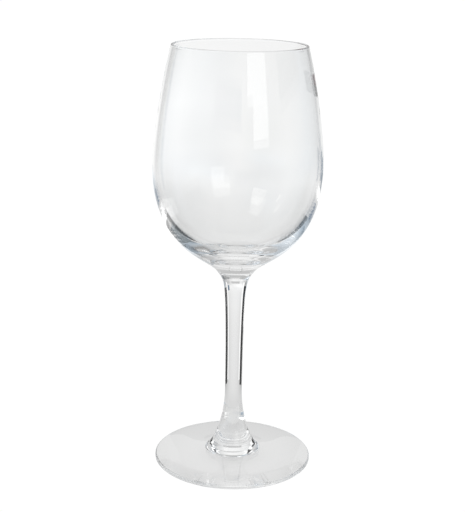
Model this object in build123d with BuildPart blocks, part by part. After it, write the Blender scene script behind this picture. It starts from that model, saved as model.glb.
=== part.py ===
"""Stemmed wine glass, about 215 mm tall, in clear glass.

Three gathers of glass are fused hot, face to face: the foot, the stem and the bowl. The stem opens
into a bell where it stands on the foot, and into a flare where it carries the bowl. A small label
is stuck on the outside of the bowl, below the rim. All sizes are in millimetres. +Z is up, and the
origin is the centre of the foot's resting plane.
"""

import os
from math import cos, radians, sin

from build123d import *

# Overall sizes
HEIGHT = 215.4
RIM_RADIUS = 33.4
BELLY_RADIUS = 42.4
BELLY_HEIGHT = 157.0
FOOT_RADIUS = 40.6

# Bowl: it leans in towards the rim, and its wall thickens downwards to a heavy base.
# A pull is how far a curve runs straight out of its end point before it bends away.
RIM_WALL = 1.4
RIM_LEAN = 14.5
RIM_PULL = 15.0
BELLY_WALL = 2.0
BELLY_PULL_UP = 14.8
BELLY_PULL_DOWN = 42.8
FLOOR_HEIGHT = 112.1
FLOOR_PULL = 33.5
INNER_BELLY_PULL_DOWN = 18.0

# Throat: the ring where the bowl is fused to the stem's flare
THROAT_RADIUS = 9.6
THROAT_HEIGHT = 102.0
THROAT_SLOPE = 54.0
THROAT_PULL_UP = 10.2
THROAT_PULL_DOWN = 4.4

# Stem: from the neck under the flare it tapers slowly to the waist, then opens into the bell
NECK_RADIUS = 5.2
NECK_HEIGHT = 87.0
NECK_LEAN = 3.0
NECK_PULL_UP = 10.7
NECK_PULL_DOWN = 14.0
WAIST_RADIUS = 4.4
WAIST_HEIGHT = 38.0
WAIST_PULL_UP = 18.0
WAIST_PULL_DOWN = 16.4

# Bell: the ring where the stem is fused to the foot. The foot's side leaves it on a flatter
# slope than the bell's, so there is a crease all round.
BELL_RADIUS = 12.1
BELL_HEIGHT = 7.6
BELL_SLOPE = 53.0
BELL_PULL_UP = 4.3
CREASE_SLOPE = 28.0
CREASE_PULL = 1.4

# Foot: a thin plate that rises to the bell, over a shallow hollow inside its resting ring
HUB_RADIUS = 14.8
HUB_HEIGHT = 5.6
HUB_SLOPE = 10.5
HUB_PULL_IN = 1.2
HUB_PULL_OUT = 10.5
EDGE_THICKNESS = 2.2
EDGE_SLOPE = 7.0
EDGE_PULL = 9.0
EDGE_ROUND = 0.9
REST_INNER_RADIUS = 35.5
HOLLOW_HEIGHT = 2.6
HOLLOW_PULL = 17.0

# Label: a rounded rectangle of film that follows the bowl
LABEL_WIDTH = 22.0
LABEL_HEIGHT = 10.5
LABEL_THICKNESS = 0.15
LABEL_CORNER = 0.8
LABEL_MIDDLE_HEIGHT = 197.0
LABEL_TURN = 5.0


def step(point, distance, angle):
    """The point that lies a distance from another, at an angle above the horizontal."""
    run = distance * cos(radians(angle))
    rise = distance * sin(radians(angle))
    return (point[0] + run, point[1] + rise)


# Points of the section, as (radius, height), and the control points of the bowl's upper outside
rim = (RIM_RADIUS, HEIGHT - RIM_WALL / 2)
inner_rim = (RIM_RADIUS - RIM_WALL, HEIGHT - RIM_WALL / 2)
belly = (BELLY_RADIUS, BELLY_HEIGHT)
inner_belly = (BELLY_RADIUS - BELLY_WALL, BELLY_HEIGHT)
throat = (THROAT_RADIUS, THROAT_HEIGHT)
neck = (NECK_RADIUS, NECK_HEIGHT)
waist = (WAIST_RADIUS, WAIST_HEIGHT)
bell = (BELL_RADIUS, BELL_HEIGHT)
hub = (HUB_RADIUS, HUB_HEIGHT)
edge_top = (FOOT_RADIUS, EDGE_THICKNESS)
edge_bottom = (FOOT_RADIUS, 0)
upper_wall = (
    belly,
    step(belly, BELLY_PULL_UP, 90),
    step(rim, RIM_PULL, RIM_LEAN - 90),
    rim,
)

with BuildPart() as bowl:
    with BuildSketch(Plane.XZ):
        with BuildLine():
            Line((0, THROAT_HEIGHT), throat)
            Bezier(
                throat,
                step(throat, THROAT_PULL_UP, THROAT_SLOPE),
                step(belly, BELLY_PULL_DOWN, -90),
                belly,
            )
            Bezier(*upper_wall)
            ThreePointArc(rim, (RIM_RADIUS - RIM_WALL / 2, HEIGHT), inner_rim)
            Bezier(
                inner_rim,
                step(inner_rim, RIM_PULL, RIM_LEAN - 90),
                step(inner_belly, BELLY_PULL_UP, 90),
                inner_belly,
            )
            Bezier(
                inner_belly,
                step(inner_belly, INNER_BELLY_PULL_DOWN, -90),
                (FLOOR_PULL, FLOOR_HEIGHT),
                (0, FLOOR_HEIGHT),
            )
            Line((0, FLOOR_HEIGHT), (0, THROAT_HEIGHT))
        make_face()
    revolve(axis=Axis.Z)

with BuildPart() as stem:
    with BuildSketch(Plane.XZ):
        with BuildLine():
            Line((0, BELL_HEIGHT), bell)
            Bezier(
                bell,
                step(bell, BELL_PULL_UP, 180 - BELL_SLOPE),
                step(waist, WAIST_PULL_DOWN, -90),
                waist,
            )
            Bezier(
                waist,
                step(waist, WAIST_PULL_UP, 90),
                step(neck, NECK_PULL_DOWN, -90 - NECK_LEAN),
                neck,
            )
            Bezier(
                neck,
                step(neck, NECK_PULL_UP, 90 - NECK_LEAN),
                step(throat, THROAT_PULL_DOWN, THROAT_SLOPE - 180),
                throat,
            )
            Line(throat, (0, THROAT_HEIGHT))
            Line((0, THROAT_HEIGHT), (0, BELL_HEIGHT))
        make_face()
    revolve(axis=Axis.Z)

with BuildPart() as foot:
    with BuildSketch(Plane.XZ) as foot_section:
        with BuildLine():
            Line((0, BELL_HEIGHT), bell)
            Bezier(
                bell,
                step(bell, CREASE_PULL, -CREASE_SLOPE),
                step(hub, HUB_PULL_IN, 180 - HUB_SLOPE),
                hub,
            )
            Bezier(
                hub,
                step(hub, HUB_PULL_OUT, -HUB_SLOPE),
                step(edge_top, EDGE_PULL, 180 - EDGE_SLOPE),
                edge_top,
            )
            Line(edge_top, edge_bottom)
            Line(edge_bottom, (REST_INNER_RADIUS, 0))
            Bezier(
                (REST_INNER_RADIUS, 0),
                (REST_INNER_RADIUS - HOLLOW_PULL, 0),
                (HOLLOW_PULL, HOLLOW_HEIGHT),
                (0, HOLLOW_HEIGHT),
            )
            Line((0, HOLLOW_HEIGHT), (0, BELL_HEIGHT))
        make_face()
        fillet(foot_section.vertices().sort_by(Axis.X)[-2:], radius=EDGE_ROUND)
    revolve(axis=Axis.Z)

# The label is cut from a skin that lies on the bowl's upper outside
skin = [(radius + LABEL_THICKNESS, height) for radius, height in upper_wall]
label_front = Plane(
    origin=(0, 0, LABEL_MIDDLE_HEIGHT),
    x_dir=(-sin(radians(LABEL_TURN)), cos(radians(LABEL_TURN)), 0),
    z_dir=(cos(radians(LABEL_TURN)), sin(radians(LABEL_TURN)), 0),
)
with BuildPart() as label:
    with BuildSketch(Plane.XZ):
        with BuildLine():
            Bezier(*upper_wall)
            Bezier(*skin)
            Line(upper_wall[0], skin[0])
            Line(upper_wall[-1], skin[-1])
        make_face()
    revolve(axis=Axis.Z)
    with BuildSketch(label_front):
        RectangleRounded(LABEL_WIDTH, LABEL_HEIGHT, LABEL_CORNER)
    extrude(amount=BELLY_RADIUS, mode=Mode.INTERSECT)

os.makedirs("parts", exist_ok=True)
for name, piece in (("bowl", bowl), ("stem", stem), ("foot", foot), ("label", label)):
    piece.part.label = name
    export_step(piece.part, f"parts/{name}.step")
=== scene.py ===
"""A stemmed wine glass in clear glass, with a small plain label, in a bright studio.

Lengths are in metres. +Z is up and the origin is the centre of the foot's resting plane. The bowl,
the stem and the foot are sections that are spun around the axis. A section is a chain of curves: a
"pull" is how far a curve runs straight out of its end point before it bends away.
"""

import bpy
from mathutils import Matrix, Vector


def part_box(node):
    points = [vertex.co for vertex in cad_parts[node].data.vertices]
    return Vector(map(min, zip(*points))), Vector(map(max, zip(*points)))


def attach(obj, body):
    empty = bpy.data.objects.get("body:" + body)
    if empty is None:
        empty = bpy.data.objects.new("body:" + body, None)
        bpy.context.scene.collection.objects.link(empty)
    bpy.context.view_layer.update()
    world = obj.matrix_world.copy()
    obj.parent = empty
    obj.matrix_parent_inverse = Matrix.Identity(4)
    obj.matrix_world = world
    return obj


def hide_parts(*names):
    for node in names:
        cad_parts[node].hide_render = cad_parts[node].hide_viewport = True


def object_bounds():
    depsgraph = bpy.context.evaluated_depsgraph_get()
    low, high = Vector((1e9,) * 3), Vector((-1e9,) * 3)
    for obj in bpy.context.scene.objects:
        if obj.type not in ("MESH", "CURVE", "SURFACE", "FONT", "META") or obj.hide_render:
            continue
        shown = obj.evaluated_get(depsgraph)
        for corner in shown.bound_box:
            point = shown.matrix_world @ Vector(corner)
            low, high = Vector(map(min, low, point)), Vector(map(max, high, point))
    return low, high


bl_info = {
    "name": "Wine Glass",
    "version": (1, 0, 0),
    "blender": (4, 5, 0),
    "location": "View3D > Sidebar > Wine Glass",
    "description": "Makes a stemmed wine glass and the studio that it stands in",
    "category": "Object",
}

import functools
import math

import bmesh
import bpy
from mathutils import Matrix, Vector
from mathutils.bvhtree import BVHTree

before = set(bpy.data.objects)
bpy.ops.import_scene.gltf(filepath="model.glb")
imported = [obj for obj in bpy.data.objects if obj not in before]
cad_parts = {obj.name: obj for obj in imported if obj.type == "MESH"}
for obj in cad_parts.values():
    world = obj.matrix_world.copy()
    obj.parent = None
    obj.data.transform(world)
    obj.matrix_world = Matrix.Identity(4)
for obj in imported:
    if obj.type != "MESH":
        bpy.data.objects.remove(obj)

CAD_LOW, CAD_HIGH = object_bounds()
MM = 0.001
BODY = "root"
QUARTER_ARC = 0.5523  # the pull that turns a curve into a quarter of a circle of radius 1
WELD = 1e-7  # points that are nearer to each other than this become one
ON_JOINT = 1e-6  # a face that is nearer than this to a joint's height lies on the joint
FACING = 0.5  # a face looks a given way if more than this share of its normal points there

# Directions in a section, as angles above the horizontal
UP = math.pi / 2
DOWN = -math.pi / 2
INWARDS = math.pi

# How many steps a section is spun in
SPIN_STEPS = 192
STAGE_SPIN_STEPS = 64

# How many straight pieces each curve of a section is divided into
JOINT_DIVISIONS = 8
LIP_DIVISIONS = 8
UPPER_BOWL_DIVISIONS = 56
LOWER_BOWL_DIVISIONS = 100
INNER_BOWL_DIVISIONS = 110
BELL_DIVISIONS = 90
SHAFT_DIVISIONS = 60
FLARE_DIVISIONS = 70
HUB_DIVISIONS = 40
PLATE_DIVISIONS = 100
EDGE_DIVISIONS = 10
EDGE_SIDE_DIVISIONS = 2
REST_DIVISIONS = 6
HOLLOW_DIVISIONS = 90

# How many parts the label is divided into, and how many each of its corners
LABEL_COLUMNS = 25
LABEL_ROWS = 12
LABEL_CORNER_SEGMENTS = 6

# The fibres of the film are up to a tenth darker than the film, as (position, shade)
FIBRE_SHADES = ((0.3, 0.9), (0.7, 1.0))

# Light that is trapped in the rim's wall needs many bounces to get out
LIGHT_BOUNCES = 256
BOUNCE_SETTINGS = (
    "max_bounces", "glossy_bounces", "transmission_bounces", "transparent_max_bounces",
)

# Light passes two faces on its way through solid glass, such as the stem
SOLID_GLASS_FACES = 2

PLAIN = (1.0, 1.0, 1.0)  # the tint of a card or a cove that is neither warm nor cool


def length(name, description, default):
    return bpy.props.FloatProperty(
        name=name, description=description, default=default, unit="LENGTH", precision=5
    )


def angle(name, description, degrees):
    return bpy.props.FloatProperty(
        name=name, description=description, default=math.radians(degrees), subtype="ANGLE"
    )


def amount(name, description, default):
    return bpy.props.FloatProperty(name=name, description=description, default=default)


def colour(name, description, default):
    return bpy.props.FloatVectorProperty(
        name=name, description=description, default=default, subtype="COLOR", size=3
    )


# ---------------------------------------------------------------- sizes and finishes


class BowlShape(bpy.types.PropertyGroup):
    """Sizes of the bowl's section."""

    height: length("Height", "Height of the rim above the table", CAD_HIGH.z)
    rim_radius: length("Rim radius", "Outer radius at the rim", 33.4 * MM)
    rim_wall: length("Rim wall", "Thickness of the wall at the rim", 1.4 * MM)
    rim_lean: angle("Rim lean", "How far the wall leans in at the rim", 14.5)
    rim_pull: length("Rim pull", "Pull of the wall below the rim", 15 * MM)
    belly_radius: length("Belly radius", "Widest radius of the bowl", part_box("bowl")[1].x)
    belly_height: length("Belly height", "Height of the widest ring", 157 * MM)
    belly_wall: length("Belly wall", "Thickness of the wall at the belly", 2 * MM)
    belly_pull_up: length("Belly pull up", "Pull of the wall above the belly", 14.8 * MM)
    belly_pull_down: length("Belly pull down", "Pull of the outside below the belly", 42.8 * MM)
    inner_pull_down: length("Inner pull down", "Pull of the inside below the belly", 18 * MM)
    floor_height: length("Floor height", "Height of the inside's lowest point", 112.1 * MM)
    floor_pull: length("Floor pull", "How far the inner floor runs out flat", 33.5 * MM)
    throat_radius: length("Throat radius", "Radius where the bowl is fused to the stem", 9.6 * MM)
    throat_height: length(
        "Throat height", "Height of the joint of bowl and stem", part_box("stem")[1].z
    )
    throat_slope: angle("Throat slope", "Slope of the outside at that joint", 54)
    throat_pull_up: length("Throat pull up", "Pull of the bowl above that joint", 10.2 * MM)


class StemShape(bpy.types.PropertyGroup):
    """Sizes of the stem's section between its two joints."""

    throat_pull_down: length("Throat pull down", "Pull of the flare below the bowl", 4.4 * MM)
    neck_radius: length("Neck radius", "Radius under the flare", 5.2 * MM)
    neck_height: length("Neck height", "Height of the neck", 87 * MM)
    neck_lean: angle("Neck lean", "How far the side leans out at the neck", 3)
    neck_pull_up: length("Neck pull up", "Pull of the side above the neck", 10.7 * MM)
    neck_pull_down: length("Neck pull down", "Pull of the side below the neck", 14 * MM)
    waist_radius: length("Waist radius", "Slimmest radius of the stem", 4.4 * MM)
    waist_height: length("Waist height", "Height of the slimmest ring", 38 * MM)
    waist_pull_up: length("Waist pull up", "Pull of the side above the waist", 18 * MM)
    waist_pull_down: length("Waist pull down", "Pull of the side below the waist", 16.4 * MM)
    bell_pull_up: length("Bell pull up", "Pull of the bell above the foot", 4.3 * MM)


class FootShape(bpy.types.PropertyGroup):
    """Sizes of the foot's section."""

    radius: length("Radius", "Radius of the foot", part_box("foot")[1].x)
    bell_radius: length("Bell radius", "Radius of the joint of stem and foot", 12.1 * MM)
    bell_height: length("Bell height", "Height of the joint of stem and foot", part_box("foot")[1].z)
    bell_slope: angle("Bell slope", "Slope of the stem's side at that joint", 53)
    crease_slope: angle("Crease slope", "Slope of the foot's side at that joint", 28)
    crease_pull: length("Crease pull", "Pull of the hub below that joint", 1.4 * MM)
    hub_radius: length("Hub radius", "Radius of the hub's lower ring", 14.8 * MM)
    hub_height: length("Hub height", "Height of the hub's lower ring", 5.6 * MM)
    hub_slope: angle("Hub slope", "Slope of the plate at the hub", 10.5)
    hub_pull_in: length("Hub pull in", "Pull of the hub inside its ring", 1.2 * MM)
    hub_pull_out: length("Hub pull out", "Pull of the plate outside the hub", 10.5 * MM)
    edge_thickness: length("Edge thickness", "Thickness of the plate at its edge", 2.2 * MM)
    edge_slope: angle("Edge slope", "Slope of the plate near its edge", 7)
    edge_pull: length("Edge pull", "Pull of the plate inside its edge", 9 * MM)
    edge_round: length("Edge round", "Rounding of the plate's edge", 0.9 * MM)
    rest_radius: length("Resting ring", "Inner radius of the flat resting ring", 35.5 * MM)
    hollow_height: length("Hollow height", "Depth of the hollow underneath", 2.6 * MM)
    hollow_pull: length("Hollow pull", "How far the hollow runs flat at each end", 17 * MM)


class LabelShape(bpy.types.PropertyGroup):
    """Sizes and colours of the label on the bowl."""

    width: length("Width", "Width of the label", 22 * MM)
    height: length("Height", "Height of the label", 10.5 * MM)
    corner: length("Corner", "Rounding of the corners", 0.8 * MM)
    thickness: length("Thickness", "Thickness of the film", 0.15 * MM)
    cover: amount("Cover", "How far the film covers what is behind it", 0.1)
    print_cover: amount("Print cover", "How far the printed end covers it", 0.55)
    print_share: amount("Print share", "Share of the width that is printed", 0.36)
    bedding: length("Bedding", "How deep the glue wets the glass", 0.02 * MM)
    middle_height: length("Middle height", "Height of the label's middle", 197 * MM)
    turn: angle("Turn", "Place around the bowl, from +X towards +Y", 5)
    roughness: amount("Roughness", "Roughness of the outside", 0.35)
    glued_roughness: amount("Glued roughness", "Roughness of the glued side", 0.5)
    glued_fading: amount("Glued fading", "How far the print fades on the glued side", 0.3)
    fibre_roughness: amount("Fibre roughness", "How much roughness the fibres add", 0.15)
    fibre_scale: amount("Fibre scale", "How closely the fibres lie", 2500.0)
    fibre_depth: length("Fibre depth", "Height of the fibres", 0.01 * MM)
    fibre_strength: amount("Fibre strength", "How strongly the fibres catch the light", 0.4)
    film: colour("Film", "Colour of the clear film", (0.80, 0.82, 0.82))
    upper_print: colour("Upper print", "Upper half of the printed end", (0.42, 0.10, 0.13))
    lower_print: colour("Lower print", "Lower half of the printed end", (0.22, 0.22, 0.22))


class GlassFinish(bpy.types.PropertyGroup):
    """Finish of the clear glass."""

    ior: amount("Index of refraction", "Bending of light by the glass", 1.5)
    clear: colour("Clear glass", "Tint of the clearest glass", (1.0, 1.0, 1.0))
    streak: colour("Streak", "Tint of the faintly darker streaks", (0.985, 0.992, 0.99))
    streak_scale: amount("Streak scale", "How closely the streaks lie around the glass", 60.0)
    streak_rise: amount("Streak rise", "How closely they lie along the axis, as a share", 0.25)
    ripple_depth: length("Ripple depth", "Height of the slow ripples of blown glass", 0.004 * MM)
    ripple_width: length("Ripple width", "Width of the slow ripples of blown glass", 22 * MM)


class StudioSettings(bpy.types.PropertyGroup):
    """The camera, and the brightness of what the glass bends and mirrors."""

    camera_place: bpy.props.FloatVectorProperty(
        name="Camera place", description="Where the camera stands", unit="LENGTH", size=3,
        default=(-0.00177, -0.5757, 0.2697),
    )
    camera_tilt: angle("Camera tilt", "How far the camera looks down", 15.55)
    camera_roll: angle("Camera roll", "How far the camera leans to its left", 1.08)
    lens: amount("Lens", "Focal length for a 36 mm wide sensor, in mm", 83.1)
    cove: amount("Cove", "Brightness of the seamless white floor and wall", 1.02)
    softbox: amount("Softbox", "Brightness of the big softbox at the front right", 1.75)
    second_softbox: amount("Second softbox", "Brightness of the high softbox at the left", 2.2)
    lamp: amount("Lamp", "Brightness of the narrow lamp at the left", 2.5)
    strip: amount("Strips", "Brightness of the narrow strips beside the stem", 1.1)
    flag: amount("Flags", "Brightness of the dark flags that draw the stem's edges", 0.02)
    backdrop: amount("Backdrop", "Brightness of the long low card behind the glass", 0.56)
    room_shade: amount("Room shade", "Brightness of the dark card at the front left", 0.09)
    edge_shade: amount("Edge shade", "Brightness of the low dark card behind the glass", 0.22)
    side_shade: amount("Side shade", "Brightness of the dark card at the right", 0.24)
    side_panel: amount("Side panel", "Brightness of the high panel at the right", 0.29)


# ---------------------------------------------------------------- sections and spinning


def step(point, distance, direction):
    """The point that lies a distance from another, at an angle above the horizontal."""
    return (
        point[0] + distance * math.cos(direction),
        point[1] + distance * math.sin(direction),
    )


def curved(start, pull_start, pull_end, end, divisions):
    """One curve of a section, from its two ends and the two points that it is pulled towards."""
    return (start, pull_start, pull_end, end, divisions)


def straight(start, end, divisions):
    """A straight run of a section, with its pulls along the run."""
    third = [(2 * a + b) / 3 for a, b in zip(start, end)]
    two_thirds = [(a + 2 * b) / 3 for a, b in zip(start, end)]
    return (start, third, two_thirds, end, divisions)


def quarter_round(start, corner, end, divisions):
    """A quarter of a circle that rounds off a square corner."""
    near_start = [a + (c - a) * QUARTER_ARC for a, c in zip(start, corner)]
    near_end = [b + (c - b) * QUARTER_ARC for b, c in zip(end, corner)]
    return (start, near_start, near_end, end, divisions)


def section_mesh(name, runs):
    """Draws a section's curves in the XZ plane and returns them as a chain of edges."""
    curve = bpy.data.curves.new(name + "_section", "CURVE")
    curve.dimensions = "3D"
    for start, pull_start, pull_end, end, divisions in runs:
        spline = curve.splines.new("BEZIER")
        spline.bezier_points.add(1)
        spline.resolution_u = divisions
        first, last = spline.bezier_points
        for point, place, left, right in (
            (first, start, start, pull_start), (last, end, pull_end, end),
        ):
            point.handle_left_type = point.handle_right_type = "FREE"
            point.co = (place[0], 0, place[1])
            point.handle_left = (left[0], 0, left[1])
            point.handle_right = (right[0], 0, right[1])
    drawn = bpy.data.objects.new(curve.name, curve)
    mesh = bpy.data.meshes.new_from_object(drawn)
    bpy.data.objects.remove(drawn)
    bpy.data.curves.remove(curve)
    return mesh


def spin_section(name, runs, steps=SPIN_STEPS):
    """Spins a section all the way round the Z axis and returns the closed shell."""
    section = section_mesh(name, runs)
    shell = bmesh.new()
    shell.from_mesh(section)
    bpy.data.meshes.remove(section)
    bmesh.ops.remove_doubles(shell, verts=shell.verts, dist=WELD)
    bmesh.ops.spin(
        shell, geom=shell.verts[:] + shell.edges[:], cent=(0, 0, 0), axis=(0, 0, 1),
        angle=math.tau, steps=steps, use_merge=True,
    )
    bmesh.ops.remove_doubles(shell, verts=shell.verts, dist=WELD)
    bmesh.ops.recalc_face_normals(shell, faces=shell.faces)
    for face in shell.faces:
        face.smooth = True
    return shell


def mark_joint(shell, radius, height):
    """Gives the flat face of a fused joint the second material, with a sharp edge around it."""
    for face in shell.faces:
        flat = all(abs(vert.co.z - height) < ON_JOINT for vert in face.verts)
        if flat and face.calc_center_median().xy.length < radius:
            face.material_index = 1
    for edge in shell.edges:
        if len({face.material_index for face in edge.link_faces}) > 1:
            edge.smooth = False


def place_mesh(name, shape, materials):
    """Turns a finished bmesh into an object at the origin."""
    mesh = bpy.data.meshes.new(name)
    shape.to_mesh(mesh)
    shape.free()
    for material in materials:
        mesh.materials.append(material)
    made = bpy.data.objects.new(name, mesh)
    bpy.context.scene.collection.objects.link(made)
    return made


def unit_square():
    """A flat square of side 1 around the origin."""
    square = bmesh.new()
    bmesh.ops.create_grid(square, x_segments=1, y_segments=1, size=0.5)
    return square


def stands_for(piece, node):
    """Says which body a piece rides on and which CAD part it replaces."""
    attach(piece, BODY)
    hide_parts(node)


def throat_ring(scene):
    """The ring where the bowl is fused to the stem, as (radius, height)."""
    bowl = scene.glass_bowl
    return (bowl.throat_radius, bowl.throat_height)


def bell_ring(scene):
    """The ring where the stem is fused to the foot, as (radius, height)."""
    foot = scene.glass_foot
    return (foot.bell_radius, foot.bell_height)


# ---------------------------------------------------------------- materials


class Nodes:
    """A short way to write a material's nodes and the links between them."""

    def __init__(self, name):
        self.material = bpy.data.materials.new(name)
        self.material.use_nodes = True
        self.tree = self.material.node_tree
        self.tree.nodes.clear()
        self.output = self.add("ShaderNodeOutputMaterial")

    def add(self, kind, inputs=None, **settings):
        """Adds a node. An input is a value, or the socket that it is linked to."""
        node = self.tree.nodes.new(kind)
        for key, value in settings.items():
            setattr(node, key, value)
        for key, value in (inputs or {}).items():
            if isinstance(value, bpy.types.NodeSocket):
                self.tree.links.new(value, node.inputs[key])
            else:
                node.inputs[key].default_value = value
        return node

    def show(self, shader):
        """Gives the material its shader and returns the material."""
        self.tree.links.new(shader.outputs[0], self.output.inputs["Surface"])
        return self.material

    def object_place(self, **mapping):
        """A place on the object, scaled and turned as asked."""
        place = self.add("ShaderNodeTexCoord").outputs["Object"]
        if not mapping:
            return place
        inputs = {key.capitalize(): value for key, value in mapping.items()}
        return self.add("ShaderNodeMapping", {"Vector": place, **inputs}).outputs["Vector"]

    def noise(self, vector, scale, detail):
        inputs = {"Vector": vector, "Scale": scale, "Detail": detail, "Roughness": 0.5}
        return self.add("ShaderNodeTexNoise", inputs).outputs["Fac"]

    def math(self, operation, *values, clamp=False):
        inputs = dict(enumerate(values))
        node = self.add("ShaderNodeMath", inputs, operation=operation, use_clamp=clamp)
        return node.outputs[0]

    def between(self, value, start, end):
        """0 where the value is at its start, 1 where it is at its end."""
        return self.math("DIVIDE", self.math("SUBTRACT", value, start), end - start, clamp=True)

    def mix(self, factor, first, second, blend="MIX"):
        """A colour between two others. Of the node's sockets, only those for colours are in use."""
        node = self.add("ShaderNodeMix", data_type="RGBA", blend_type=blend)
        for key, value in (("Factor", factor), ("A", first), ("B", second)):
            socket = next(s for s in node.inputs if s.name == key and s.enabled)
            if isinstance(value, bpy.types.NodeSocket):
                self.tree.links.new(value, socket)
            else:
                socket.default_value = value
        return next(s for s in node.outputs if s.enabled)

    def ramp(self, factor, stops):
        """Colours or greys that blend from stop to stop, each given as (position, shade)."""
        node = self.add("ShaderNodeValToRGB", {"Fac": factor})
        elements = node.color_ramp.elements
        while len(elements) < len(stops):
            elements.new(0.5)
        for element, (position, shade) in zip(elements, stops):
            element.position = position
            element.color = (*shade, 1) if isinstance(shade, tuple) else (shade,) * 3 + (1,)
        return node.outputs["Color"]


@functools.cache
def polished_glass():
    """Clear blown glass: slow ripples, and streaks that are a shade darker."""
    finish = bpy.context.scene.glass_finish
    nodes = Nodes("polished_glass")
    place = nodes.object_place()
    slow = nodes.noise(place, 1 / finish.ripple_width, detail=0.0)
    ripple = nodes.add(
        "ShaderNodeBump", {"Height": slow, "Distance": finish.ripple_depth, "Strength": 1.0}
    )
    drawn_out = nodes.object_place(scale=(1.0, 1.0, finish.streak_rise))
    streak = nodes.noise(drawn_out, finish.streak_scale, detail=3.0)
    tint = nodes.mix(streak, (*finish.clear, 1), (*finish.streak, 1))
    return nodes.show(nodes.add("ShaderNodeBsdfPrincipled", {
        "Base Color": tint, "Roughness": 0.0, "IOR": finish.ior,
        "Transmission Weight": 1.0, "Normal": ripple.outputs["Normal"],
    }))


@functools.cache
def fused_joint():
    """Where two pieces of glass are fused, light passes as if there were no face."""
    nodes = Nodes("fused_joint")
    return nodes.show(nodes.add("ShaderNodeBsdfPrincipled", {
        "Base Color": (1, 1, 1, 1), "Alpha": 0.0,
    }))


def label_side(name, label, roughness, fading):
    """One side of the label: clear film, and one end that is printed in two plain colours."""
    nodes = Nodes(name)
    turned = nodes.object_place(rotation=(0, 0, -label.turn))
    place = nodes.add("ShaderNodeSeparateXYZ", {"Vector": turned})
    from_end = nodes.math("ADD", place.outputs["Y"], label.width / 2)
    printed = nodes.math("LESS_THAN", from_end, label.width * label.print_share)
    above = nodes.math("GREATER_THAN", place.outputs["Z"], label.middle_height)
    fibre = nodes.noise(nodes.object_place(), label.fibre_scale, detail=4.0)
    print_shade = nodes.mix(above, (*label.lower_print, 1), (*label.upper_print, 1))
    faded = nodes.mix(fading, print_shade, (*label.film, 1))
    shade = nodes.mix(printed, (*label.film, 1), faded)
    mottled = nodes.ramp(fibre, FIBRE_SHADES)
    bump = nodes.add("ShaderNodeBump", {
        "Height": fibre, "Distance": label.fibre_depth, "Strength": label.fibre_strength,
    })
    more = label.print_cover - label.cover
    return nodes.show(nodes.add("ShaderNodeBsdfPrincipled", {
        "Base Color": nodes.mix(1.0, shade, mottled, "MULTIPLY"),
        "Roughness": nodes.math("MULTIPLY_ADD", fibre, label.fibre_roughness, roughness),
        "Normal": bump.outputs["Normal"],
        "Alpha": nodes.math("MULTIPLY_ADD", printed, more, label.cover),
    }))


def glow(name, strength, tint=PLAIN, near=False):
    """An even emission for a card or a cove. A near card shows in solid glass, but not through
    both of the bowl's walls, where it would look like a thing on the table."""
    nodes = Nodes(name)
    light = nodes.add("ShaderNodeEmission", {"Color": (*tint, 1), "Strength": strength})
    if near:
        passed = nodes.add("ShaderNodeLightPath").outputs["Transmission Depth"]
        hidden = nodes.math("GREATER_THAN", passed, SOLID_GLASS_FACES + 0.5)
        clear = nodes.add("ShaderNodeBsdfTransparent")
        light = nodes.add(
            "ShaderNodeMixShader", {0: hidden, 1: light.outputs[0], 2: clear.outputs[0]}
        )
    return nodes.show(light)


# ---------------------------------------------------------------- the pieces


class GLASS_OT_bowl(bpy.types.Operator):
    """Make the bowl, with its wall, its rim and its heavy base"""

    bl_idname = "wine_glass.bowl"
    bl_label = "Bowl"

    def execute(self, context):
        s = context.scene.glass_bowl
        throat = throat_ring(context.scene)
        belly = (s.belly_radius, s.belly_height)
        rim = (s.rim_radius, s.height - s.rim_wall / 2)
        lip = (s.rim_radius - s.rim_wall / 2, s.height)
        inner_rim = (s.rim_radius - s.rim_wall, rim[1])
        inner_belly = (s.belly_radius - s.belly_wall, s.belly_height)
        floor = (0, s.floor_height)
        below_rim = DOWN + s.rim_lean
        shell = spin_section("bowl_glass", (
            straight((0, s.throat_height), throat, JOINT_DIVISIONS),
            curved(
                throat, step(throat, s.throat_pull_up, s.throat_slope),
                step(belly, s.belly_pull_down, DOWN), belly, LOWER_BOWL_DIVISIONS,
            ),
            curved(
                belly, step(belly, s.belly_pull_up, UP),
                step(rim, s.rim_pull, below_rim), rim, UPPER_BOWL_DIVISIONS,
            ),
            quarter_round(rim, (rim[0], lip[1]), lip, LIP_DIVISIONS),
            quarter_round(lip, (inner_rim[0], lip[1]), inner_rim, LIP_DIVISIONS),
            curved(
                inner_rim, step(inner_rim, s.rim_pull, below_rim),
                step(inner_belly, s.belly_pull_up, UP), inner_belly, UPPER_BOWL_DIVISIONS,
            ),
            curved(
                inner_belly, step(inner_belly, s.inner_pull_down, DOWN),
                (s.floor_pull, s.floor_height), floor, INNER_BOWL_DIVISIONS,
            ),
        ))
        mark_joint(shell, *throat)
        bowl = place_mesh("bowl_glass", shell, (polished_glass(), fused_joint()))
        stands_for(bowl, "bowl")
        return {"FINISHED"}


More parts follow.
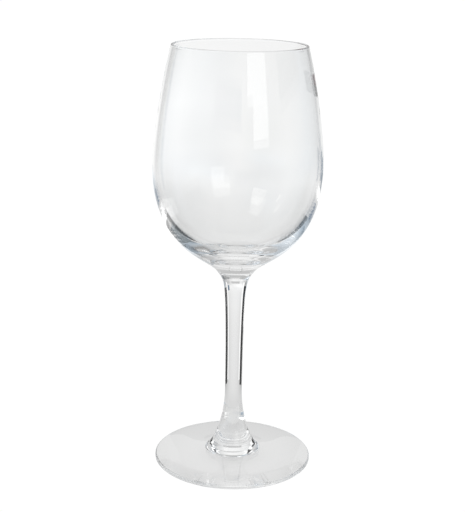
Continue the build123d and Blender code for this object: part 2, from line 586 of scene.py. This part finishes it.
class GLASS_OT_stem(bpy.types.Operator):
    """Make the stem, from the bell on the foot up to the flare under the bowl"""

    bl_idname = "wine_glass.stem"
    bl_label = "Stem"

    def execute(self, context):
        s = context.scene.glass_stem
        throat = throat_ring(context.scene)
        bell = bell_ring(context.scene)
        throat_slope = context.scene.glass_bowl.throat_slope
        bell_slope = context.scene.glass_foot.bell_slope
        neck = (s.neck_radius, s.neck_height)
        waist = (s.waist_radius, s.waist_height)
        shell = spin_section("stem_glass", (
            straight((0, bell[1]), bell, JOINT_DIVISIONS),
            curved(
                bell, step(bell, s.bell_pull_up, INWARDS - bell_slope),
                step(waist, s.waist_pull_down, DOWN), waist, BELL_DIVISIONS,
            ),
            curved(
                waist, step(waist, s.waist_pull_up, UP),
                step(neck, s.neck_pull_down, DOWN - s.neck_lean), neck, SHAFT_DIVISIONS,
            ),
            curved(
                neck, step(neck, s.neck_pull_up, UP - s.neck_lean),
                step(throat, s.throat_pull_down, throat_slope - INWARDS), throat, FLARE_DIVISIONS,
            ),
            straight(throat, (0, throat[1]), JOINT_DIVISIONS),
        ))
        mark_joint(shell, *throat)
        mark_joint(shell, *bell)
        stem = place_mesh("stem_glass", shell, (polished_glass(), fused_joint()))
        stands_for(stem, "stem")
        return {"FINISHED"}


class GLASS_OT_foot(bpy.types.Operator):
    """Make the foot, a thin plate with a hub on top and a shallow hollow underneath"""

    bl_idname = "wine_glass.foot"
    bl_label = "Foot"

    def execute(self, context):
        s = context.scene.glass_foot
        bell = bell_ring(context.scene)
        hub = (s.hub_radius, s.hub_height)
        # The plate slopes down to its edge, so it is a little thicker where the rounding starts
        side = s.radius - s.edge_round
        top = (side, s.edge_thickness + s.edge_round * math.tan(s.edge_slope))
        outer_top = (s.radius, top[1] - s.edge_round)
        outer_bottom = (s.radius, s.edge_round)
        under = (s.rest_radius, 0)
        shell = spin_section("foot_glass", (
            straight((0, bell[1]), bell, JOINT_DIVISIONS),
            curved(
                bell, step(bell, s.crease_pull, -s.crease_slope),
                step(hub, s.hub_pull_in, INWARDS - s.hub_slope), hub, HUB_DIVISIONS,
            ),
            curved(
                hub, step(hub, s.hub_pull_out, -s.hub_slope),
                step(top, s.edge_pull - s.edge_round, INWARDS - s.edge_slope), top,
                PLATE_DIVISIONS,
            ),
            quarter_round(top, (s.radius, top[1]), outer_top, EDGE_DIVISIONS),
            straight(outer_top, outer_bottom, EDGE_SIDE_DIVISIONS),
            quarter_round(outer_bottom, (s.radius, 0), (side, 0), EDGE_DIVISIONS),
            straight((side, 0), under, REST_DIVISIONS),
            curved(
                under, step(under, s.hollow_pull, INWARDS),
                (s.hollow_pull, s.hollow_height), (0, s.hollow_height), HOLLOW_DIVISIONS,
            ),
        ))
        mark_joint(shell, *bell)
        foot = place_mesh("foot_glass", shell, (polished_glass(), fused_joint()))
        stands_for(foot, "foot")
        return {"FINISHED"}


def flat_film(label):
    """The label laid flat: a rounded rectangle, divided so that it can bend with the bowl."""
    film = unit_square()
    bmesh.ops.scale(film, vec=(label.width, label.height, 1), verts=film.verts)
    bmesh.ops.bevel(
        film, geom=film.verts[:], offset=label.corner, segments=LABEL_CORNER_SEGMENTS,
        profile=0.5, affect="VERTICES", material=-1,
    )
    for parts, size, across in (
        (LABEL_COLUMNS, label.width, (1, 0, 0)), (LABEL_ROWS, label.height, (0, 1, 0)),
    ):
        for cut in range(1, parts):
            at = Vector(across) * size * (cut / parts - 0.5)
            bmesh.ops.bisect_plane(
                film, geom=film.verts[:] + film.edges[:] + film.faces[:],
                plane_co=at, plane_no=across, dist=WELD,
            )
    return film


def press_on_bowl(film, context, label, outwards):
    """Moves each point of the flat film straight in, until it lies on the bowl's outside."""
    bowl = bpy.data.objects.get("bowl_glass")
    if bowl is None:
        raise RuntimeError("the bowl has to be made before its label")
    sideways = Vector((-outwards.y, outwards.x, 0))
    away = context.scene.glass_bowl.belly_radius * 2
    wall = BVHTree.FromObject(bowl, context.evaluated_depsgraph_get())
    for vert in film.verts:
        start = outwards * away + sideways * vert.co.x
        start.z = label.middle_height + vert.co.y
        place, normal, _, _ = wall.ray_cast(start, -outwards)
        if place is None:
            raise RuntimeError("the label doesn't lie on the bowl")
        vert.co = place - normal * label.bedding


class GLASS_OT_label(bpy.types.Operator):
    """Make the label, a rounded piece of film that is pressed on the bowl"""

    bl_idname = "wine_glass.label"
    bl_label = "Label"

    def execute(self, context):
        s = context.scene.glass_label
        outwards = Vector((math.cos(s.turn), math.sin(s.turn), 0))
        film = flat_film(s)
        press_on_bowl(film, context, s, outwards)
        bmesh.ops.recalc_face_normals(film, faces=film.faces)
        if film.faces[:][0].normal.dot(outwards) < 0:
            bmesh.ops.reverse_faces(film, faces=film.faces)
        bmesh.ops.solidify(film, geom=film.faces[:], thickness=s.thickness)
        bmesh.ops.recalc_face_normals(film, faces=film.faces)
        for face in film.faces:
            face.smooth = abs(face.normal.dot(outwards)) > FACING
            face.material_index = 0 if face.normal.dot(outwards) > FACING else 1
        label = place_mesh("label_film_piece", film, (
            label_side("printed_film", s, s.roughness, 0.0),
            label_side("glued_film", s, s.glued_roughness, s.glued_fading),
        ))
        stands_for(label, "label")
        return {"FINISHED"}


# ---------------------------------------------------------------- the stage

# The stage lies just under the glass: the tent's table first, then the cove's floor
TABLE_GAP = 0.5 * MM
COVE_GAP = TABLE_GAP * 2

# The white cove: a flat floor that bends up into a wall, under a flat ceiling
COVE_FLOOR_RADIUS = 2.0
COVE_RADIUS = 3.0
COVE_BEND_HEIGHT = 1.0
COVE_HEIGHT = 4.0
COVE_FLOOR_DIVISIONS = 4
COVE_BEND_DIVISIONS = 12
COVE_WALL_DIVISIONS = 2

# The light tent: a round table, an upright wall and a flat roof
TENT_RADIUS = 1.2
TENT_HEIGHT = 1.6
TENT_TABLE_DIVISIONS = 12
TENT_WALL_DIVISIONS = 8
TENT_ROOF_DIVISIONS = 4

# Where the tent's cloth changes: the table blends into the wall from the seam outwards, the wall
# is given at the sill and at the waist, and above the shoulder it blends into the roof
TENT_SEAM = 0.5
TENT_SILL = 0.2
TENT_WAIST = 0.8
TENT_SHOULDER = 1.2
TENT_ROOF = 0.52
COOL_LEAN = 0.1  # how far a coolness of 1 takes red down and blue up

# The light tent's cloth around the glass: degrees from straight behind it, to the right; its
# brightness at the table, at the sill and at the waist; and how cool its light is. The numbers here
# and on the table came out of a computed match, were rounded, and were then partly changed.
TENT_WALL = (
    (-180, 0.50, 0.75, 0.60, 0.0),
    (-150, 0.90, 0.35, 0.36, 2.0),
    (-120, 1.05, 0.45, 0.87, 1.5),
    (-90, 1.00, 0.90, 1.08, 0.6),
    (-65, 0.80, 0.68, 0.57, 0.8),
    (-45, 0.45, 0.30, 0.95, 0.0),
    (-20, 1.20, 0.85, 0.92, 0.0),
    (5, 0.96, 0.95, 0.97, 0.0),
    (25, 0.90, 0.48, 0.80, 0.0),
    (50, 0.45, 0.50, 0.45, 0.5),
    (75, 0.62, 0.60, 0.22, 1.5),
    (110, 0.60, 1.00, 0.20, 0.0),
    (150, 0.30, 0.30, 0.90, 0.0),
    (180, 0.50, 0.75, 0.60, 0.0),
)

# The brightness of the table under the tent: distance from the glass's axis, then brightness
# The table's glow is painted light: its dip close to the axis is a painted shadow under the glass,
# and its darker stretch in front of the glass is painted shade.
TABLE_BEHIND = ((0.0, 0.64), (0.02, 0.73), (0.05, 0.71), (0.12, 0.82), (0.30, 0.88), (0.60, 0.92))
TABLE_BEFORE = ((0.0, 0.65), (0.02, 0.75), (0.05, 0.67), (0.12, 0.28), (0.30, 0.32), (0.60, 0.70))

# A card that stands nearer to the glass's axis than this is a near card
NEAR = 0.2

# Cards around the glass: degrees from straight behind it, to the right; half the width; distance
# from the axis; height of the lower and the upper edge; the setting for brightness; and the tint.
# The places and sizes of the softboxes, the lamp, strip_outer, backdrop, room_shade, side_shade and
# side_panel were computed too, and rounded. The others were set one by one, mostly from computed
# first values.
CARDS = {
    "softbox_right": (149.5, 0.213, 1.15, 0.226, 0.74, "softbox", PLAIN),
    "softbox_wing": (164.2, 0.084, 1.15, 0.42, 0.74, "softbox", PLAIN),
    "softbox_left": (-139.5, 0.255, 1.15, 0.69, 1.50, "second_softbox", PLAIN),
    "lamp_left": (-99, 0.05, 1.10, 0.60, 0.85, "lamp", PLAIN),
    "strip_left": (-29.5, 0.007, 0.10, 0.004, 0.11, "strip", PLAIN),
    "strip_right": (32.5, 0.006, 0.10, 0.004, 0.11, "strip", PLAIN),
    "strip_outer": (-67, 0.046, 0.17, 0.02, 0.069, "strip", PLAIN),
    "flag_left": (-45.5, 0.0203, 0.10, 0.0, 0.09, "flag", PLAIN),
    "flag_right": (56, 0.034, 0.10, 0.0, 0.084, "flag", PLAIN),
    "backdrop": (0, 1.63, 1.17, 0.125, 0.35, "backdrop", PLAIN),
    "room_shade": (-164, 0.96, 1.13, 0.32, 0.50, "room_shade", (0.3, 1.0, 2.0)),
    "edge_shade": (27, 0.05, 0.56, 0.0, 0.07, "edge_shade", (0.75, 1.0, 1.3)),
    "side_shade": (98, 0.71, 1.12, 0.34, 0.87, "side_shade", (0.85, 1.0, 1.1)),
    "side_panel": (102, 1.10, 0.75, 0.98, 1.60, "side_panel", PLAIN),
}

# What the glass bends and mirrors is the tent and the cards, so the cove is for the camera only
COVE_HIDDEN_FROM = ("diffuse", "glossy", "transmission", "shadow", "volume_scatter")

DIM_ROOM = (0.5, 0.5, 0.5, 1)
SENSOR_WIDTH = 36  # in mm, like the lens


def unseen_by_camera(card):
    """Leaves a part of the stage for the glass alone to bend and mirror."""
    card.visible_camera = False


def cool(brightness, coolness):
    """A grey that leans to blue."""
    lean = COOL_LEAN * coolness
    return (brightness * (1 - lean), brightness, brightness * (1 + lean))


def tent_wall_bands(nodes):
    """The wall's brightness all the way around: at the table, at the sill and at the waist."""
    behind = nodes.object_place(scale=(1, -1, 1), rotation=(0, 0, math.pi / 2))
    around = nodes.add(
        "ShaderNodeTexGradient", {"Vector": behind}, gradient_type="RADIAL"
    ).outputs["Fac"]
    bands = ([], [], [])
    # The gradient starts and ends straight in front of the glass, so behind it is halfway
    for degrees, *brightnesses, coolness in TENT_WALL:
        turn = 0.5 + degrees / 360
        for band, brightness in zip(bands, brightnesses):
            band.append((turn, cool(brightness, coolness)))
    return [nodes.ramp(around, band) for band in bands]


def tent_table(nodes, away, depth):
    """The table's brightness, with its painted shadow and shade, which blends from in front of the
    glass to behind it.
    """
    part = nodes.math("DIVIDE", away, TENT_RADIUS)
    before, behind = (
        nodes.ramp(part, [(distance / TENT_RADIUS, shade) for distance, shade in stops])
        for stops in (TABLE_BEFORE, TABLE_BEHIND)
    )
    facing = nodes.math("DIVIDE", nodes.math("MAXIMUM", depth, 0.0), away)
    return nodes.mix(nodes.math("MULTIPLY", facing, facing), before, behind)


def tent_cloth():
    """The tent glows evenly from its table up its wall to its roof, with no edge in between."""
    nodes = Nodes("tent_cloth")
    place = nodes.object_place()
    axes = nodes.add("ShaderNodeSeparateXYZ", {"Vector": place}).outputs
    flat = nodes.add("ShaderNodeVectorMath", {0: place, 1: (1, 1, 0)}, operation="MULTIPLY")
    away = nodes.add(
        "ShaderNodeVectorMath", {0: flat.outputs["Vector"]}, operation="LENGTH"
    ).outputs["Value"]
    at_table, at_sill, at_waist = tent_wall_bands(nodes)
    table = tent_table(nodes, away, axes["Y"])
    outer = nodes.between(away, TENT_SEAM, TENT_RADIUS)
    to_sill = nodes.between(axes["Z"], 0, TENT_SILL)
    to_waist = nodes.between(axes["Z"], TENT_SILL, TENT_WAIST)
    under_roof = nodes.between(axes["Z"], TENT_SHOULDER, TENT_HEIGHT)
    lower = nodes.mix(to_sill, nodes.mix(outer, table, at_table), at_sill)
    cloth = nodes.mix(to_waist, lower, at_waist)
    roofed = nodes.mix(under_roof, cloth, (TENT_ROOF, TENT_ROOF, TENT_ROOF, 1))
    return nodes.show(nodes.add("ShaderNodeEmission", {"Color": roofed}))


def set_up_light(scene):
    """Sets how colours are shown, how often light may bounce, and a dim room around the stage."""
    scene.view_settings.view_transform = "Standard"
    for setting in BOUNCE_SETTINGS:
        setattr(scene.cycles, setting, LIGHT_BOUNCES)
    world = bpy.data.worlds.new("dim_room")
    world.use_nodes = True
    world.node_tree.nodes["Background"].inputs["Color"].default_value = DIM_ROOM
    scene.world = world


def make_cove(studio):
    """The seamless white floor and wall that the camera sees beside the glass."""
    inner = (COVE_FLOOR_RADIUS, -COVE_GAP)
    corner = (COVE_RADIUS, -COVE_GAP)
    bend_top = (COVE_RADIUS, COVE_BEND_HEIGHT)
    wall_top = (COVE_RADIUS, COVE_HEIGHT)
    shell = spin_section("floor_and_cove", (
        straight((0, -COVE_GAP), inner, COVE_FLOOR_DIVISIONS),
        quarter_round(inner, corner, bend_top, COVE_BEND_DIVISIONS),
        straight(bend_top, wall_top, COVE_WALL_DIVISIONS),
        straight(wall_top, (0, COVE_HEIGHT), COVE_WALL_DIVISIONS),
    ), steps=STAGE_SPIN_STEPS)
    cove = place_mesh("floor_and_cove", shell, (glow("white_cove", studio.cove),))
    for ray in COVE_HIDDEN_FROM:
        setattr(cove, "visible_" + ray, False)


def make_tent():
    """The round tent of glowing cloth, and the table in it."""
    table_edge = (TENT_RADIUS, -TABLE_GAP)
    roof_edge = (TENT_RADIUS, TENT_HEIGHT)
    shell = spin_section("light_tent", (
        straight((0, -TABLE_GAP), table_edge, TENT_TABLE_DIVISIONS),
        straight(table_edge, roof_edge, TENT_WALL_DIVISIONS),
        straight(roof_edge, (0, TENT_HEIGHT), TENT_ROOF_DIVISIONS),
    ), steps=STAGE_SPIN_STEPS)
    unseen_by_camera(place_mesh("light_tent", shell, (tent_cloth(),)))


def make_cards(studio):
    """The upright cards that stand around the glass and face it."""
    for name, (degrees, half_width, distance, low, high, setting, tint) in CARDS.items():
        card = unit_square()
        upright = Matrix.Rotation(math.pi / 2, 4, "X")
        sized = Matrix.Diagonal((half_width * 2, high - low, 1, 1))
        stood = Matrix.Translation((0, distance, (low + high) / 2)) @ upright @ sized
        turned = Matrix.Rotation(-math.radians(degrees), 4, "Z") @ stood
        bmesh.ops.transform(card, matrix=turned, verts=card.verts)
        light = glow(name, getattr(studio, setting), tint, near=distance < NEAR)
        unseen_by_camera(place_mesh(name, card, (light,)))


def make_camera(scene, studio):
    """The camera, which looks down a little at the glass from in front."""
    camera = bpy.data.objects.new("camera", bpy.data.cameras.new("camera"))
    scene.collection.objects.link(camera)
    scene.camera = camera
    camera.data.sensor_width = SENSOR_WIDTH
    camera.data.lens = studio.lens
    camera.matrix_world = (
        Matrix.Translation(studio.camera_place)
        @ Matrix.Rotation(math.pi / 2 - studio.camera_tilt, 4, "X")
        @ Matrix.Rotation(studio.camera_roll, 4, "Z")
    )


class GLASS_OT_stage(bpy.types.Operator):
    """Make the floor, the light tent, the cards and the camera"""

    bl_idname = "wine_glass.stage"
    bl_label = "Studio"

    def execute(self, context):
        scene = context.scene
        set_up_light(scene)
        make_cove(scene.glass_studio)
        make_tent()
        make_cards(scene.glass_studio)
        make_camera(scene, scene.glass_studio)
        return {"FINISHED"}


class GLASS_PT_panel(bpy.types.Panel):
    """The sizes of the glass, and a button for each piece"""

    bl_idname = "GLASS_PT_panel"
    bl_label = "Wine Glass"
    bl_space_type = "VIEW_3D"
    bl_region_type = "UI"
    bl_category = "Wine Glass"

    def draw(self, context):
        for operator in OPERATORS:
            self.layout.operator(operator.bl_idname)
        for name, group in GROUPS.items():
            box = self.layout.box()
            box.label(text=group.__doc__)
            for size in group.__annotations__:
                box.prop(getattr(context.scene, name), size)


GROUPS = {
    "glass_bowl": BowlShape,
    "glass_stem": StemShape,
    "glass_foot": FootShape,
    "glass_label": LabelShape,
    "glass_finish": GlassFinish,
    "glass_studio": StudioSettings,
}
OPERATORS = (GLASS_OT_bowl, GLASS_OT_stem, GLASS_OT_foot, GLASS_OT_label, GLASS_OT_stage)


def register():
    for made in (*GROUPS.values(), *OPERATORS, GLASS_PT_panel):
        bpy.utils.register_class(made)
    for name, group in GROUPS.items():
        setattr(bpy.types.Scene, name, bpy.props.PointerProperty(type=group))


def unregister():
    for name in GROUPS:
        delattr(bpy.types.Scene, name)
    for made in reversed((*GROUPS.values(), *OPERATORS, GLASS_PT_panel)):
        bpy.utils.unregister_class(made)


def main():
    register()
    bpy.ops.wine_glass.bowl()
    bpy.ops.wine_glass.stem()
    bpy.ops.wine_glass.foot()
    bpy.ops.wine_glass.label()
    bpy.ops.wine_glass.stage()


if __name__ == "__main__":
    main()
